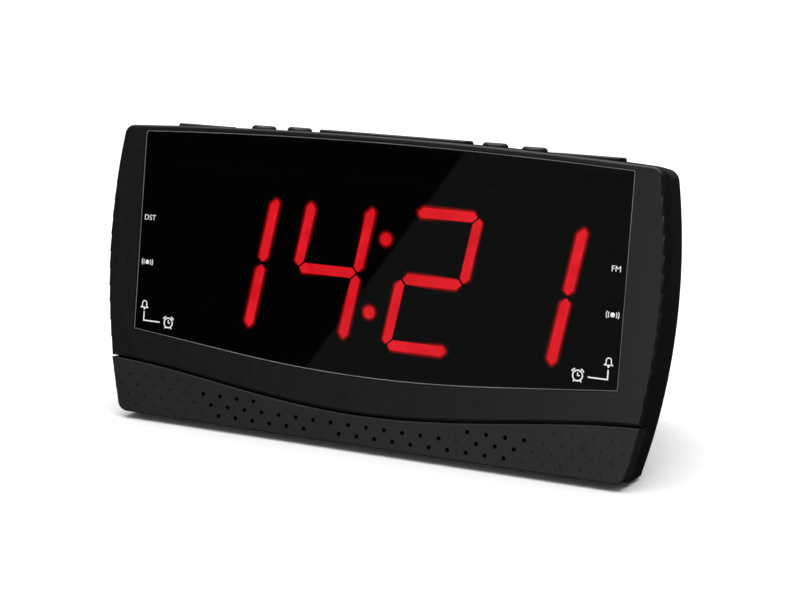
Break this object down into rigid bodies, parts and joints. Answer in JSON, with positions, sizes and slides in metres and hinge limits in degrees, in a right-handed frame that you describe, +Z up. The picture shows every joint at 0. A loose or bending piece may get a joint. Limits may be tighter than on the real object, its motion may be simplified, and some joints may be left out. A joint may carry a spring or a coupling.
{
  "type": "clock radio",
  "caption": "Table clock radio with a leaning barrel-sided front, smoked lens over large red digits, perforated lower panel, keys on top and a tapered rear housing.",
  "frame": {"origin": "on the table, under the middle of the whole set", "axes": "+X to the listener's right across the set, +Y from the front face to the rear, +Z up"},
  "size_m": [0.1908, 0.0839, 0.0957],
  "materials": {
    "frame_plastic": "satin dark grey moulded ABS",
    "grille_plastic": "fine-textured dark grey moulded ABS",
    "housing_plastic": "fine-textured black moulded ABS",
    "key_plastic": "satin black moulded keys",
    "smoked_lens": "glossy smoked acrylic",
    "black_felt": "black felt",
    "rubber": "matt black rubber",
    "bush_plastic": "black nylon",
    "lit_red": "lit red epoxy light bar",
    "dark_red": "unlit smoky red epoxy light bar",
    "module_plastic": "black moulded plastic",
    "board": "brown phenolic circuit board",
    "capacitor_sleeve": "printed sleeve",
    "tinned_steel": "tinned steel",
    "paper_cone": "black pressed paper",
    "ferrite": "dark grey ferrite",
    "core_steel": "varnished laminations",
    "coil_wrap": "yellow tape over copper winding",
    "screw_steel": "zinc plated steel"
  },
  "bodies": {
    "radio": {"base_cover": "housing_plastic", "base_screws": "screw_steel", "battery_snap": "module_plastic", "capacitors": "capacitor_sleeve", "colon_dots": "lit_red", "cord_bush": "bush_plastic", "dark_segments": "dark_red", "display_board": "board", "display_lens": "smoked_lens", "display_module": "module_plastic", "display_screws": "screw_steel", "frame_screws": "screw_steel", "front_frame": "frame_plastic", "grille_felt": "black_felt", "grille_panel": "grille_plastic", "indicator_lamps": "dark_red", "key_board": "board", "key_board_screws": "screw_steel", "lit_segments": "lit_red", "main_board": "board", "main_board_screws": "screw_steel", "main_chips": "module_plastic", "rear_housing": "housing_plastic", "rubber_feet": "rubber", "speaker_basket": "tinned_steel", "speaker_cone": "paper_cone", "speaker_magnet": "ferrite", "tact_switches": "module_plastic", "transformer_bracket": "tinned_steel", "transformer_coil": "coil_wrap", "transformer_core": "core_steel", "transformer_screws": "screw_steel", "tuner_can": "tinned_steel"},
    "snooze_bar": {"snooze_bar": "key_plastic"},
    "alarm_one_key": {"alarm_one_key": "key_plastic"},
    "alarm_two_key": {"alarm_two_key": "key_plastic"},
    "tune_down_key": {"tune_down_key": "key_plastic"},
    "tune_up_key": {"tune_up_key": "key_plastic"},
    "time_key": {"time_key": "key_plastic"},
    "sleep_key": {"sleep_key": "key_plastic"},
    "battery_door": {"battery_door": "housing_plastic"}
  },
  "joints": [
    {"name": "snooze_bar_press", "type": "slide", "parent": "radio", "child": "snooze_bar", "axis": [0, -0.1564, -0.9877], "range_m": [0, 0.001], "stiffness_N_per_m": 600, "springref_m": -0.0004},
    {"name": "alarm_one_key_press", "type": "slide", "parent": "radio", "child": "alarm_one_key", "axis": [0, -0.1564, -0.9877], "range_m": [0, 0.001], "stiffness_N_per_m": 600, "springref_m": -0.0004},
    {"name": "alarm_two_key_press", "type": "slide", "parent": "radio", "child": "alarm_two_key", "axis": [0, -0.1564, -0.9877], "range_m": [0, 0.001], "stiffness_N_per_m": 600, "springref_m": -0.0004},
    {"name": "tune_down_key_press", "type": "slide", "parent": "radio", "child": "tune_down_key", "axis": [0, -0.1564, -0.9877], "range_m": [0, 0.001], "stiffness_N_per_m": 600, "springref_m": -0.0004},
    {"name": "tune_up_key_press", "type": "slide", "parent": "radio", "child": "tune_up_key", "axis": [0, -0.1564, -0.9877], "range_m": [0, 0.001], "stiffness_N_per_m": 600, "springref_m": -0.0004},
    {"name": "time_key_press", "type": "slide", "parent": "radio", "child": "time_key", "axis": [0, -0.1564, -0.9877], "range_m": [0, 0.001], "stiffness_N_per_m": 600, "springref_m": -0.0004},
    {"name": "sleep_key_press", "type": "slide", "parent": "radio", "child": "sleep_key", "axis": [0, -0.1564, -0.9877], "range_m": [0, 0.001], "stiffness_N_per_m": 600, "springref_m": -0.0004},
    {"name": "battery_door_slide", "type": "slide", "parent": "radio", "child": "battery_door", "axis": [0, 1, 0], "range_m": [0, 0.028]}
  ]
}
